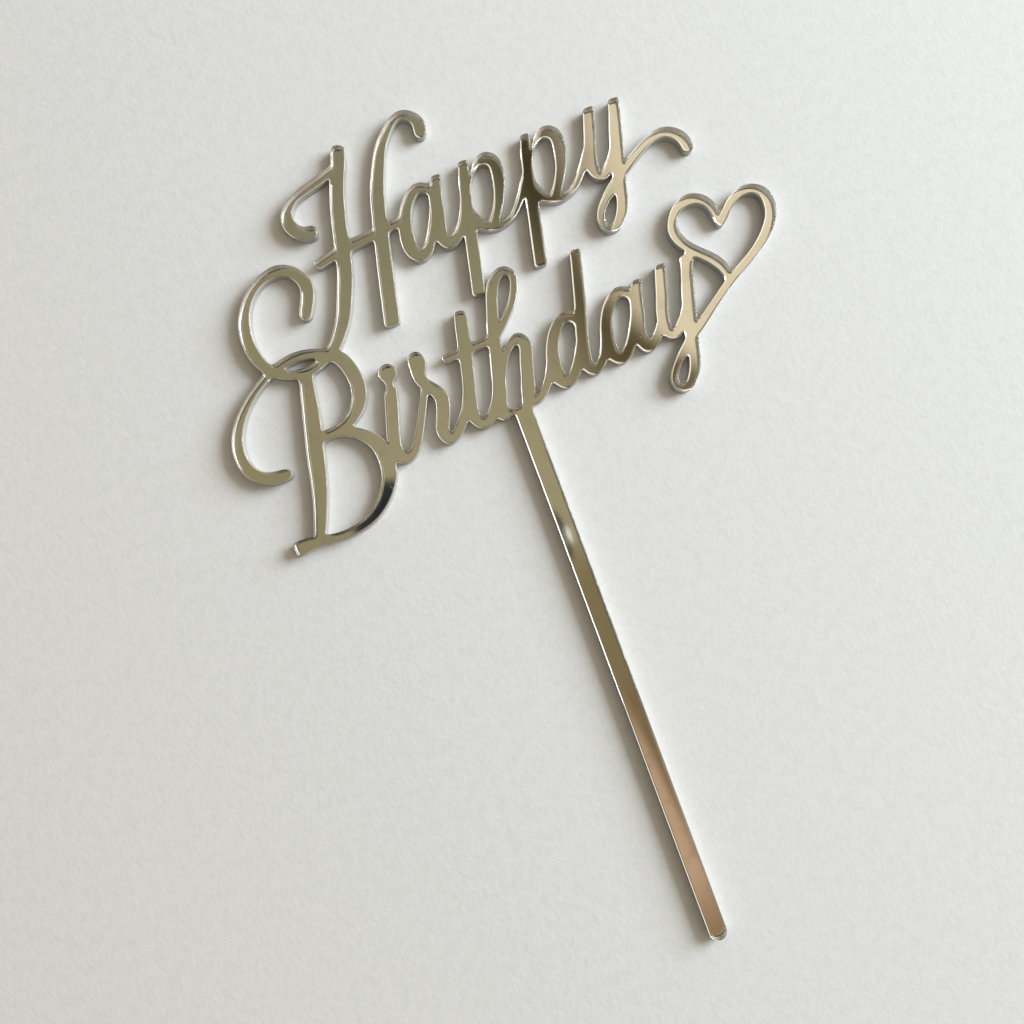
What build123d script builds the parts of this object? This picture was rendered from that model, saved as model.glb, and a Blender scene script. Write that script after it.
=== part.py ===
from build123d import *
import os
from math import copysign, hypot, sqrt

os.makedirs("parts", exist_ok=True)

# Layers of the mirror sheet, in millimetres, from the back to the front.
coat_thickness = 0.1
film_thickness = 0.1
sheet_thickness = 2.6

# The stick that goes into the cake.
stick_width = 4.1
stick_length = 124.7
stick_root = 1.6

# The lettering. All outline shares below are shares of the lettering size, pen shares of the pen width.
lettering_size = 100.0
pen_width = 4.0

# The dot over the small i.
dot_diameter = 4.3

# Heights at which the layers begin.
film_level = coat_thickness
sheet_level = coat_thickness + film_thickness

# How far each kind of stroke end is rounded, as a share of half its width.
# A square end is cut across the stroke, a level end is cut across the whole lettering.
end_shares = {"square": 0.25, "level": 0.2, "soft": 0.7, "round": 1.0}

# Each stroke is a row of (across, up, pen) shares along its middle line.

# Capital H: first stem, which runs on into a tail and a curl.
tall_left_shares = [
    (-0.1940, 0.7225, 0.82), (-0.2005, 0.7000, 0.84), (-0.2210, 0.6500, 0.85), (-0.2375, 0.6000, 0.85),
    (-0.2500, 0.5500, 0.87), (-0.2610, 0.5000, 0.88), (-0.2725, 0.4500, 0.90), (-0.2910, 0.4000, 0.90),
    (-0.3130, 0.3490, 0.82), (-0.3330, 0.3180, 0.76), (-0.3520, 0.2950, 0.70), (-0.3830, 0.2740, 0.60),
    (-0.4150, 0.2610, 0.54), (-0.4450, 0.2585, 0.54), (-0.4700, 0.2645, 0.55), (-0.4950, 0.2775, 0.58),
    (-0.5150, 0.2960, 0.62), (-0.5280, 0.3200, 0.69), (-0.5355, 0.3500, 0.73), (-0.5365, 0.3800, 0.73),
    (-0.5315, 0.4100, 0.70), (-0.5180, 0.4420, 0.62), (-0.4975, 0.4700, 0.56), (-0.4690, 0.4910, 0.55),
    (-0.4330, 0.5025, 0.65), (-0.4000, 0.4965, 0.70), (-0.3795, 0.4780, 0.75), (-0.3680, 0.4500, 0.79),
    (-0.3735, 0.4220, 0.79), (-0.3842, 0.4000, 0.77), (-0.3915, 0.3850, 0.72),
]
tall_flag_shares = [
    (-0.2050, 0.6890, 0.56), (-0.2350, 0.6785, 0.57), (-0.2720, 0.6665, 0.57), (-0.3080, 0.6560, 0.52),
    (-0.3390, 0.6400, 0.52), (-0.3550, 0.6190, 0.66), (-0.3580, 0.6000, 0.75), (-0.3515, 0.5800, 0.79),
    (-0.3360, 0.5655, 0.80), (-0.3130, 0.5605, 0.80),
]
tall_right_shares = [
    (-0.0010, 0.6965, 0.70), (0.0020, 0.7200, 0.75), (-0.0080, 0.7400, 0.62), (-0.0320, 0.7515, 0.50),
    (-0.0560, 0.7420, 0.50), (-0.0745, 0.7245, 0.54), (-0.0950, 0.7000, 0.64), (-0.1200, 0.6500, 0.77),
    (-0.1405, 0.6000, 0.82), (-0.1540, 0.5500, 0.86), (-0.1660, 0.5000, 0.87), (-0.1780, 0.4500, 0.88),
    (-0.1895, 0.4000, 0.89), (-0.2005, 0.3500, 0.90), (-0.2125, 0.2960, 0.90),
]
tall_bar_shares = [
    (-0.3290, 0.4830, 0.55), (-0.3000, 0.4900, 0.60), (-0.2600, 0.4990, 0.62), (-0.2100, 0.5050, 0.66),
    (-0.1600, 0.5100, 0.60), (-0.1300, 0.5140, 0.55), (-0.1050, 0.5180, 0.55),
]

# Small a, used twice: bowl, its closing side and the stem. The bowl serves the d as well.
bowl_shares = [
    (0.0770, 0.1290, 0.56), (0.0680, 0.1462, 0.58), (0.0500, 0.1545, 0.60), (0.0255, 0.1415, 0.64),
    (0.0058, 0.1145, 0.69), (-0.0092, 0.0750, 0.78), (-0.0140, 0.0400, 0.83), (-0.0105, 0.0170, 0.82),
    (0.0020, 0.0050, 0.78), (0.0205, 0.0105, 0.64), (0.0360, 0.0300, 0.48),
]
bowl_side_shares = [
    (0.0040, 0.0050, 0.60), (0.0205, 0.0105, 0.64), (0.0370, 0.0310, 0.57), (0.0545, 0.0630, 0.52),
    (0.0700, 0.1000, 0.50), (0.0755, 0.1230, 0.50),
]
a_stem_shares = [
    (0.0972, 0.1670, 0.56), (0.0865, 0.1350, 0.66), (0.0740, 0.0800, 0.69), (0.0640, 0.0400, 0.74),
    (0.0645, 0.0220, 0.78), (0.0740, 0.0110, 0.82),
]
# Lines from the two a up to the letter that follows.
a_to_p_shares = [
    (0.0910, 0.0140, 0.68), (0.1090, 0.0295, 0.57), (0.1265, 0.0550, 0.54), (0.1400, 0.0900, 0.50),
    (0.1470, 0.1100, 0.42),
]
a_to_y_shares = [
    (0.0890, 0.0155, 0.62), (0.1035, 0.0295, 0.48), (0.1175, 0.0495, 0.46), (0.1280, 0.0720, 0.42),
]

# Small p, used twice: stem, bowl and foot.
p_stem_shares = [
    (0.0412, 0.1770, 0.57), (0.0370, 0.1600, 0.60), (0.0285, 0.1300, 0.64), (0.0190, 0.0900, 0.67),
    (0.0098, 0.0500, 0.71), (-0.0010, 0.0000, 0.75), (-0.0120, -0.0500, 0.75), (-0.0210, -0.0900, 0.75),
    (-0.0290, -0.1265, 0.75),
]
p_bowl_shares = [
    (0.0330, 0.1150, 0.24), (0.0500, 0.1420, 0.24), (0.0620, 0.1555, 0.28), (0.0720, 0.1638, 0.42),
    (0.0865, 0.1672, 0.70), (0.1037, 0.1600, 0.80), (0.1100, 0.1370, 0.78), (0.1025, 0.0980, 0.69),
    (0.0910, 0.0670, 0.60), (0.0730, 0.0360, 0.55), (0.0540, 0.0130, 0.48),
]
p_foot_shares = [
    (0.0160, 0.0550, 0.70), (0.0265, 0.0310, 0.73), (0.0475, 0.0145, 0.58), (0.0700, 0.0087, 0.48),
    (0.0890, 0.0115, 0.41), (0.1053, 0.0180, 0.38), (0.1252, 0.0364, 0.40),
]
# Lines from the two p up to the letter that follows.
p_to_p_shares = [
    (0.1454, 0.0610, 0.44), (0.1595, 0.0855, 0.43), (0.1712, 0.1040, 0.34),
]
p_to_y_shares = [
    (0.1454, 0.0610, 0.44), (0.1600, 0.0835, 0.44), (0.1710, 0.1010, 0.40),
]

# Small y, used twice: first stem with its turn, second stem with the loop, and the tail back up,
# which differs a little between the two. The first one ends in a swash.
y_left_shares = [
    (0.0237, 0.1555, 0.64), (0.0130, 0.1200, 0.69), (0.0035, 0.0900, 0.70), (-0.0075, 0.0600, 0.71),
    (-0.0140, 0.0330, 0.73), (-0.0150, 0.0150, 0.72), (-0.0080, 0.0000, 0.66), (0.0030, -0.0030, 0.60),
    (0.0170, 0.0060, 0.55), (0.0330, 0.0230, 0.55), (0.0480, 0.0480, 0.50),
]
y_right_shares = [
    (0.0857, 0.1560, 0.64), (0.0815, 0.1400, 0.67), (0.0730, 0.1100, 0.72), (0.0635, 0.0800, 0.77),
    (0.0530, 0.0450, 0.80), (0.0420, 0.0050, 0.78), (0.0320, -0.0320, 0.73), (0.0240, -0.0680, 0.68),
    (0.0145, -0.0940, 0.63), (-0.0010, -0.1160, 0.53), (-0.0190, -0.1285, 0.45), (-0.0360, -0.1210, 0.45),
]
y_tail_shares = [
    (0.0000, -0.1155, 0.52), (-0.0190, -0.1285, 0.45), (-0.0360, -0.1210, 0.45), (-0.0405, -0.1040, 0.46),
    (-0.0325, -0.0820, 0.46), (-0.0125, -0.0585, 0.48), (0.0130, -0.0390, 0.62), (0.0380, -0.0160, 0.50),
]
last_tail_shares = [
    (0.0000, -0.1155, 0.52), (-0.0190, -0.1285, 0.45), (-0.0355, -0.1210, 0.45), (-0.0388, -0.1045, 0.45),
    (-0.0292, -0.0845, 0.43), (-0.0088, -0.0612, 0.45), (0.0160, -0.0410, 0.55), (0.0380, -0.0160, 0.50),
]
swash_shares = [
    (0.0300, -0.0225, 0.52), (0.0660, 0.0010, 0.53), (0.0990, 0.0215, 0.52), (0.1300, 0.0370, 0.50),
    (0.1620, 0.0430, 0.60), (0.1890, 0.0320, 0.68), (0.2040, 0.0120, 0.73), (0.2075, -0.0080, 0.73),
]

# Capital B: swash, top and upper bowl in one line, lower bowl with the foot, and the stem.
wide_top_shares = [
    (-0.5520, 0.0530, 0.63), (-0.5820, 0.0545, 0.74), (-0.6130, 0.0675, 0.71), (-0.6320, 0.0920, 0.72),
    (-0.6395, 0.1270, 0.72), (-0.6350, 0.1600, 0.68), (-0.6210, 0.1915, 0.62), (-0.5890, 0.2320, 0.53),
    (-0.5545, 0.2605, 0.47), (-0.5230, 0.2790, 0.48), (-0.4920, 0.2920, 0.52), (-0.4600, 0.2985, 0.57),
    (-0.4350, 0.2990, 0.57), (-0.4050, 0.2930, 0.56), (-0.3740, 0.2805, 0.64), (-0.3510, 0.2612, 0.81),
    (-0.3380, 0.2288, 0.85), (-0.3335, 0.1950, 0.87), (-0.3400, 0.1640, 0.86), (-0.3600, 0.1350, 0.75),
    (-0.3880, 0.1160, 0.63), (-0.4200, 0.1070, 0.58), (-0.4600, 0.1060, 0.58),
]
wide_low_shares = [
    (-0.4400, 0.1060, 0.56), (-0.4200, 0.1055, 0.56), (-0.3920, 0.0985, 0.58), (-0.3650, 0.0810, 0.68),
    (-0.3405, 0.0540, 0.83), (-0.3305, 0.0150, 0.90), (-0.3335, -0.0200, 0.88), (-0.3470, -0.0510, 0.81),
    (-0.3720, -0.0820, 0.70), (-0.4080, -0.1070, 0.60), (-0.4500, -0.1190, 0.53), (-0.4900, -0.1210, 0.49),
    (-0.5300, -0.1150, 0.56), (-0.5650, -0.1145, 0.80), (-0.5890, -0.1155, 0.84),
]
wide_stem_shares = [
    (-0.4370, 0.2560, 0.80), (-0.4420, 0.2350, 0.82), (-0.4490, 0.2000, 0.92), (-0.4590, 0.1500, 1.01),
    (-0.4715, 0.1000, 1.02), (-0.4825, 0.0500, 1.02), (-0.4940, 0.0000, 0.92), (-0.5095, -0.0500, 0.80),
    (-0.5265, -0.0950, 0.70), (-0.5350, -0.1150, 0.60),
]

# Small i with its line up to the r, then the r with its line up to the t.
i_dot_share = (-0.2615, 0.1925)
i_neck_shares = [(-0.2640, 0.1800, 0.47), (-0.2680, 0.1600, 0.47), (-0.2710, 0.1450, 0.47)]
i_stem_shares = [
    (-0.2695, 0.1495, 0.74), (-0.2775, 0.1200, 0.77), (-0.2865, 0.0900, 0.77), (-0.2955, 0.0600, 0.77),
    (-0.3020, 0.0340, 0.78), (-0.3018, 0.0110, 0.79), (-0.2885, -0.0035, 0.71), (-0.2675, 0.0035, 0.58),
    (-0.2460, 0.0300, 0.50), (-0.2345, 0.0500, 0.47), (-0.2215, 0.0750, 0.45), (-0.2090, 0.1000, 0.43),
    (-0.1985, 0.1210, 0.40), (-0.1925, 0.1330, 0.34),
]
r_shares = [
    (-0.1910, 0.1995, 0.94), (-0.1932, 0.1750, 0.90), (-0.1955, 0.1510, 0.70), (-0.1840, 0.1320, 0.68),
    (-0.1690, 0.1100, 0.77), (-0.1655, 0.0900, 0.80), (-0.1710, 0.0700, 0.80), (-0.1800, 0.0480, 0.80),
    (-0.1875, 0.0240, 0.78), (-0.1800, 0.0040, 0.72), (-0.1580, 0.0110, 0.60), (-0.1400, 0.0290, 0.55),
    (-0.1215, 0.0550, 0.52), (-0.1085, 0.0850, 0.48), (-0.1010, 0.1120, 0.40),
]

# Small t with its line up to the h.
t_stem_shares = [
    (-0.0605, 0.2615, 0.72), (-0.0650, 0.2400, 0.78), (-0.0715, 0.2100, 0.79), (-0.0795, 0.1750, 0.77),
    (-0.0900, 0.1300, 0.74), (-0.1000, 0.0900, 0.74), (-0.1085, 0.0550, 0.74), (-0.1105, 0.0340, 0.72),
    (-0.1040, 0.0160, 0.70), (-0.0900, 0.0090, 0.67), (-0.0700, 0.0215, 0.57), (-0.0525, 0.0460, 0.53),
    (-0.0380, 0.0800, 0.50), (-0.0290, 0.1080, 0.42),
]
t_bar_shares = [
    (-0.1270, 0.1775, 0.50), (-0.0900, 0.1790, 0.51), (-0.0500, 0.1820, 0.52), (-0.0150, 0.1840, 0.52),
]

# Small h: stem with the left side of its loop, the two fillets that carry it on the stick,
# right side of the loop, and the arch with its line to the d.
small_h_stem_shares = [
    (0.0800, 0.3160, 0.46), (0.0660, 0.3250, 0.49), (0.0460, 0.3160, 0.58), (0.0290, 0.2950, 0.68),
    (0.0175, 0.2650, 0.68), (0.0065, 0.2300, 0.69), (-0.0050, 0.1900, 0.73), (-0.0160, 0.1400, 0.76),
    (-0.0240, 0.1100, 0.79), (-0.0315, 0.0800, 0.80), (-0.0400, 0.0500, 0.80), (-0.0455, 0.0300, 0.80),
    (-0.0455, 0.0140, 0.80),
]
small_h_foot_shares = [(-0.0420, 0.0120, 0.60), (-0.0290, 0.0110, 0.36), (-0.0120, 0.0110, 0.22)]
small_h_root_shares = [(0.0225, 0.0540, 0.46), (0.0125, 0.0200, 0.50), (0.0095, 0.0000, 0.50)]
small_h_loop_shares = [
    (0.0480, 0.3175, 0.55), (0.0665, 0.3250, 0.49), (0.0805, 0.3155, 0.46), (0.0820, 0.2980, 0.45),
    (0.0720, 0.2700, 0.45), (0.0545, 0.2420, 0.43), (0.0320, 0.2180, 0.45), (0.0100, 0.1980, 0.50),
    (-0.0080, 0.1820, 0.50),
]
small_h_arch_shares = [
    (-0.0200, 0.0950, 0.45), (-0.0080, 0.1200, 0.47), (0.0060, 0.1410, 0.45), (0.0225, 0.1575, 0.46),
    (0.0425, 0.1652, 0.67), (0.0542, 0.1505, 0.76), (0.0497, 0.1250, 0.75), (0.0410, 0.0950, 0.78),
    (0.0320, 0.0650, 0.79), (0.0245, 0.0380, 0.80), (0.0290, 0.0205, 0.62), (0.0445, 0.0205, 0.48),
    (0.0620, 0.0330, 0.46), (0.0775, 0.0530, 0.47), (0.0915, 0.0800, 0.46), (0.1000, 0.1020, 0.40),
]

# Small d: stem with its line up to the second a.
d_stem_shares = [
    (0.2373, 0.3115, 0.64), (0.2302, 0.2800, 0.67), (0.2195, 0.2400, 0.70), (0.2087, 0.2000, 0.71),
    (0.1964, 0.1600, 0.73), (0.1867, 0.1300, 0.75), (0.1780, 0.0950, 0.73), (0.1730, 0.0680, 0.73),
    (0.1740, 0.0490, 0.74), (0.1850, 0.0385, 0.72), (0.2030, 0.0460, 0.54), (0.2165, 0.0640, 0.48),
    (0.2265, 0.0880, 0.46), (0.2360, 0.1130, 0.40),
]

# Heart: its right side carries on from the tail of the last y, its left side runs from the notch
# to the tip, and a short joint ties it to the stem of the y.
heart_right_shares = [
    (0.4150, 0.0335, 0.52), (0.4500, 0.0530, 0.52), (0.4890, 0.0820, 0.47), (0.5240, 0.1070, 0.46),
    (0.5610, 0.1320, 0.48), (0.6000, 0.1530, 0.48), (0.6400, 0.1790, 0.53), (0.6730, 0.2095, 0.62),
    (0.6930, 0.2430, 0.67), (0.6970, 0.2710, 0.71), (0.6860, 0.2980, 0.61), (0.6600, 0.3100, 0.55),
    (0.6300, 0.3050, 0.48), (0.6070, 0.2890, 0.48), (0.5880, 0.2690, 0.46), (0.5770, 0.2590, 0.42),
]
heart_left_shares = [
    (0.5750, 0.2580, 0.46), (0.5730, 0.2750, 0.54), (0.5690, 0.3000, 0.56), (0.5520, 0.3240, 0.60),
    (0.5240, 0.3335, 0.64), (0.4920, 0.3230, 0.52), (0.4730, 0.3010, 0.52), (0.4665, 0.2800, 0.64),
    (0.4700, 0.2550, 0.67), (0.4830, 0.2320, 0.63), (0.5050, 0.2080, 0.62), (0.5300, 0.1820, 0.64),
    (0.5440, 0.1580, 0.62), (0.5475, 0.1240, 0.50),
]
heart_joint_shares = [(0.4690, 0.1850, 0.50), (0.4762, 0.2040, 0.52), (0.4885, 0.2240, 0.45)]

# Where the letters that are used twice stand (across, up), their size, and how far they lean to
# the right over their height, all as shares.
a_first_place_shares = (-0.1000, 0.4200, 1.000, 0.000)
a_second_place_shares = (0.2475, 0.0385, 0.965, 0.026)
d_bowl_place_shares = (0.1120, 0.0290, 0.950, 0.026)
p_first_place_shares = (0.0260, 0.4200, 1.000, 0.000)
p_second_place_shares = (0.1825, 0.4325, 0.985, 0.000)
y_first_place_shares = (0.3600, 0.4600, 1.000, 0.000)
y_second_place_shares = (0.3850, 0.0560, 1.000, 0.000)
own_place_shares = (0.0000, 0.0000, 1.000, 0.000)


def unit(vector):
    length = hypot(vector[0], vector[1])
    return (vector[0] / length, vector[1] / length)


def along(points, index):
    """Direction of the middle line at one of its points, from the points beside it."""
    here = points[index]
    before = points[index - 1] if index > 0 else here
    after = points[index + 1] if index < len(points) - 1 else here
    back = (here[0] - before[0], here[1] - before[1])
    ahead = (after[0] - here[0], after[1] - here[1])
    if index == 0:
        return unit(ahead)
    if index == len(points) - 1:
        return unit(back)
    near = hypot(back[0], back[1])
    far = hypot(ahead[0], ahead[1])
    return unit((back[0] / near * far + ahead[0] / far * near, back[1] / near * far + ahead[1] / far * near))


def stroke_end(middle, outward, half, style):
    """Edges closing a band at one end, from its left to its right as seen looking outward."""
    left = (-outward[1], outward[0])
    radius = half * end_shares[style]
    flat = half - radius
    start = (middle[0] + left[0] * half, middle[1] + left[1] * half)
    finish = (middle[0] - left[0] * half, middle[1] - left[1] * half)
    if style == "round":
        crown = (middle[0] + outward[0] * half, middle[1] + outward[1] * half)
        ThreePointArc(start, crown, finish)
        return
    slant = radius / sqrt(2)
    first = (middle[0] + left[0] * flat, middle[1] + left[1] * flat)
    last = (middle[0] - left[0] * flat, middle[1] - left[1] * flat)
    first_mid = (first[0] + (left[0] + outward[0]) * slant, first[1] + (left[1] + outward[1]) * slant)
    last_mid = (last[0] + (outward[0] - left[0]) * slant, last[1] + (outward[1] - left[1]) * slant)
    first_top = (first[0] + outward[0] * radius, first[1] + outward[1] * radius)
    last_top = (last[0] + outward[0] * radius, last[1] + outward[1] * radius)
    ThreePointArc(start, first_mid, first_top)
    Line(first_top, last_top)
    ThreePointArc(last_top, last_mid, finish)


def end_cut(way, half, style):
    """Direction in which a stroke end faces and half the length of its cut."""
    if style == "level":
        return (0, copysign(1, way[1])), half / abs(way[1])
    return way, half


def stroke(shares, place_shares=own_place_shares, start_style="square", end_style="square"):
    """Add one pen stroke to the sketch: a band of changing width along a smooth middle line."""
    place_across, place_up, scale, lean = place_shares
    points = []
    halves = []
    for across, up, pen in shares:
        x = lettering_size * (place_across + scale * (across + lean * up))
        y = lettering_size * (place_up + scale * (up - lean * across))
        points.append((x, y))
        halves.append(pen_width * pen / 2)
    ways = [along(points, index) for index in range(len(points))]
    ways[0], halves[0] = end_cut(ways[0], halves[0], start_style)
    ways[-1], halves[-1] = end_cut(ways[-1], halves[-1], end_style)
    left = [(p[0] - d[1] * h, p[1] + d[0] * h) for p, d, h in zip(points, ways, halves)]
    right = [(p[0] + d[1] * h, p[1] - d[0] * h) for p, d, h in zip(points, ways, halves)]
    back = (-ways[0][0], -ways[0][1])
    with BuildLine() as rim:
        Spline(*left)
        stroke_end(points[-1], ways[-1], halves[-1], end_style)
        Spline(*reversed(right))
        stroke_end(points[0], back, halves[0], start_style)
    make_face(rim.edges())


def at_share(share):
    return (lettering_size * share[0], lettering_size * share[1])


with BuildSketch() as outline:
    stroke(tall_left_shares, own_place_shares, "soft", "round")
    stroke(tall_flag_shares, own_place_shares, "square", "soft")
    stroke(tall_right_shares, own_place_shares, "round", "level")
    stroke(tall_bar_shares)
    for place_shares, link_shares in (
        (a_first_place_shares, a_to_p_shares),
        (a_second_place_shares, a_to_y_shares),
    ):
        stroke(bowl_shares, place_shares)
        stroke(bowl_side_shares, place_shares)
        stroke(a_stem_shares + link_shares, place_shares, "level")
    for place_shares, link_shares in (
        (p_first_place_shares, p_to_p_shares),
        (p_second_place_shares, p_to_y_shares),
    ):
        stroke(p_stem_shares, place_shares, "level", "level")
        stroke(p_bowl_shares, place_shares)
        stroke(p_foot_shares + link_shares, place_shares)
    for place_shares, loop_shares in (
        (y_first_place_shares, y_tail_shares),
        (y_second_place_shares, last_tail_shares),
    ):
        stroke(y_left_shares, place_shares, "level")
        stroke(y_right_shares, place_shares, "level")
        stroke(loop_shares, place_shares)
    stroke(swash_shares, y_first_place_shares, "square", "round")
    stroke(wide_top_shares, own_place_shares, "round")
    stroke(wide_low_shares)
    stroke(wide_stem_shares)
    with Locations(at_share(i_dot_share)):
        Circle(dot_diameter / 2)
    stroke(i_neck_shares)
    stroke(i_stem_shares, own_place_shares, "level")
    stroke(r_shares, own_place_shares, "round")
    stroke(t_stem_shares, own_place_shares, "soft")
    stroke(t_bar_shares, own_place_shares, "soft")
    stroke(small_h_stem_shares, own_place_shares, "square", "round")
    stroke(small_h_foot_shares)
    stroke(small_h_root_shares)
    stroke(small_h_loop_shares)
    stroke(small_h_arch_shares)
    stroke(bowl_shares, d_bowl_place_shares)
    stroke(bowl_side_shares, d_bowl_place_shares)
    stroke(d_stem_shares, own_place_shares, "level")
    stroke(heart_right_shares, own_place_shares, "square", "round")
    stroke(heart_left_shares, own_place_shares, "round")
    stroke(heart_joint_shares)
    with BuildLine():
        Line((-stick_width / 2, stick_root), (stick_width / 2, stick_root))
        Line((stick_width / 2, stick_root), (stick_width / 2, stick_width / 2 - stick_length))
        ThreePointArc(
            (stick_width / 2, stick_width / 2 - stick_length),
            (0, -stick_length),
            (-stick_width / 2, stick_width / 2 - stick_length),
        )
        Line((-stick_width / 2, stick_width / 2 - stick_length), (-stick_width / 2, stick_root))
    make_face()

with BuildPart() as coat:
    with BuildSketch(Plane.XY):
        add(outline.sketch)
    extrude(amount=coat_thickness)
coat.part.label = "backing_coat"
export_step(coat.part, "parts/backing_coat.step")

with BuildPart() as film:
    with BuildSketch(Plane.XY.offset(film_level)):
        add(outline.sketch)
    extrude(amount=film_thickness)
film.part.label = "mirror_film"
export_step(film.part, "parts/mirror_film.step")

with BuildPart() as sheet:
    with BuildSketch(Plane.XY.offset(sheet_level)):
        add(outline.sketch)
    extrude(amount=sheet_thickness)
sheet.part.label = "clear_acrylic_sheet"
export_step(sheet.part, "parts/clear_acrylic_sheet.step")
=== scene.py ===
import math

import bmesh
import bpy
from mathutils import Euler, Matrix, Vector


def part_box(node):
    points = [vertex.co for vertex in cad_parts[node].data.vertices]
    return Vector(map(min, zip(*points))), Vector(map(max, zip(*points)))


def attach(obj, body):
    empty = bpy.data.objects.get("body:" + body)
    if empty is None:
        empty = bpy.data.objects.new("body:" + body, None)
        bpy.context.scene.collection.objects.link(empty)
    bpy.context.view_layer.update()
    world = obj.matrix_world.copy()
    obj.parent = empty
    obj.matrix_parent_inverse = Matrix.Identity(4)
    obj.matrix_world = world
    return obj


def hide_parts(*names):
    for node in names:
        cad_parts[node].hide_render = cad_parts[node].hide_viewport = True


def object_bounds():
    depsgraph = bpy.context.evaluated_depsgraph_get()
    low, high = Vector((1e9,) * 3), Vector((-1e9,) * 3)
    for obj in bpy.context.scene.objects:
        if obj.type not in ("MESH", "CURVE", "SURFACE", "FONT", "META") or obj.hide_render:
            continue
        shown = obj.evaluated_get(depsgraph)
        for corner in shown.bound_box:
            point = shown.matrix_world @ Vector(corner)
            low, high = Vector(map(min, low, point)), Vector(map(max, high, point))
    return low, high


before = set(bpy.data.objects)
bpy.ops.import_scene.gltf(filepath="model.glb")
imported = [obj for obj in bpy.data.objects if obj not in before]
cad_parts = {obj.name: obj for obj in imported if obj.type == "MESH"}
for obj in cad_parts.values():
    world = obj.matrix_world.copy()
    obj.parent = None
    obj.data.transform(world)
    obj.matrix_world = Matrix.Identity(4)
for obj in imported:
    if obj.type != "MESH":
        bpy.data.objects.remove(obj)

bl_info = {
    "name": "Cake topper",
    "version": (1, 0, 0),
    "blender": (4, 5, 0),
    "location": "3D View > Sidebar > Topper",
    "description": "Dresses the cut mirror-acrylic cake topper and lays it on a sheet of paper",
    "category": "Add Mesh",
}

cad_low, cad_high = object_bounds()
sheet_low, sheet_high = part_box("clear_acrylic_sheet")
film_low, film_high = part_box("mirror_film")
coat_low, coat_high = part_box("backing_coat")

# Limits of the work on the cut outline, in metres and radians
weld_distance = 1e-7
level_slack = 1e-6
crowded_step = 0.00002
crowded_arc_step = 0.00001
notch_turn = math.radians(24.0)
corner_turn = math.radians(32.0)
crease_turn = math.radians(38.0)

# Steps and shares of the same work
arc_steps = 8
rim_steps = 5
smooth_passes = 4
notch_gap_share = 0.45
least_mitre = 0.6

# Shares and spans of the shaders
grain_share = 0.7
cloud_share = 3.1
wall_dark_share = 0.6
speck_span = (0.16, 0.06)
spot_span = (1.2, 0.55)
fill_span = (-0.8, 0.8)
fill_away_share = 0.25
fill_towards_share = 1.75

# Numbers of a Mix node's inputs for its share and two colours, and of the output for its colour
mix_inputs = (0, 6, 7)
mix_output = 2

# Half the picture's width and the focal length of its camera, in picture points
picture_half, picture_focal = 512.0, 1098.0
sensor_width = 36.0

# Where each tone of the room sets in and where it is full. A direction is written as its slope
# across, along the writing, and its slope along, towards the top of the writing.
least_rise = 0.05
room_spans = {
    "near": (0.40, 0.08),
    "left": (-0.06, -0.16),
    "below": (0.045, -0.02),
    "ruddy": (-0.095, -0.14),
    "warm": (-0.088, -0.198),
    "warm_side": (0.0555, 0.0465),
    "edge": (-0.284, -0.358),
    "upper": (0.06, 0.15),
    "strip": (0.108, 0.19),
    "deep": (0.20, 0.33),
    "open_side": (0.121, 0.222),
    "sill": (0.436, 0.483),
    "bright": (0.32, 0.48),
    "far_side": (-0.2, -0.36),
    "flag_top": (0.1035, 0.0945),
    "flag_left": (-0.1465, -0.1405),
    "flag_right": (0.03, 0.0),
}
# Shares of across and along in the directions that lean
room_slants = {
    "warm_side": (1.0, 0.085),
    "strip": (1.0, 0.1),
    "open_side": (1.0, -0.075),
    "sill": (1.4, 1.0),
    "flag_across": (0.9383, -0.3457),
    "flag_up": (0.3457, 0.9383),
}
# Middle and half reach of the oval spots
room_spots = {
    "streak": ((0.0594, 0.0300), (0.0051, 0.026)),
    "glint": ((0.0653, 0.0285), (0.0014, 0.0088)),
}


class TopperSizes(bpy.types.PropertyGroup):
    """Fine sizes of the cut edges and of the bonded layers."""

    rim_round: bpy.props.FloatProperty(
        name="Rim round",
        description="Width of the melted round along the front edge of the sheet",
        default=0.00035,
        unit="LENGTH",
        precision=6,
    )
    foot_round: bpy.props.FloatProperty(
        name="Foot round",
        description="Width of the round along the back edge of the sheet and of the paint",
        default=0.00003,
        unit="LENGTH",
        precision=6,
    )
    hold: bpy.props.FloatProperty(
        name="Hold",
        description="Distance of the extra ring that keeps the cut wall flat beside a round",
        default=0.00004,
        unit="LENGTH",
        precision=6,
    )
    film_inset: bpy.props.FloatProperty(
        name="Film inset",
        description="How far the silver stops short of the wall, where the laser burned it back",
        default=0.00004,
        unit="LENGTH",
        precision=6,
    )
    film_lap: bpy.props.FloatProperty(
        name="Film lap",
        description="How far the silver reaches up into the sheet, so that no air lies between",
        default=0.000006,
        unit="LENGTH",
        precision=7,
    )
    notch_round: bpy.props.FloatProperty(
        name="Notch round",
        description="Radius that the cut leaves in the notches between two strokes",
        default=0.00045,
        unit="LENGTH",
        precision=5,
    )
    notch_reach: bpy.props.FloatProperty(
        name="Notch reach",
        description="How far along a stroke the round of a narrow notch may start",
        default=0.0006,
        unit="LENGTH",
        precision=5,
    )
    edge_step: bpy.props.FloatProperty(
        name="Edge step",
        description="Spacing of the points along the cut edges",
        default=0.0003,
        unit="LENGTH",
        precision=5,
    )


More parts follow.
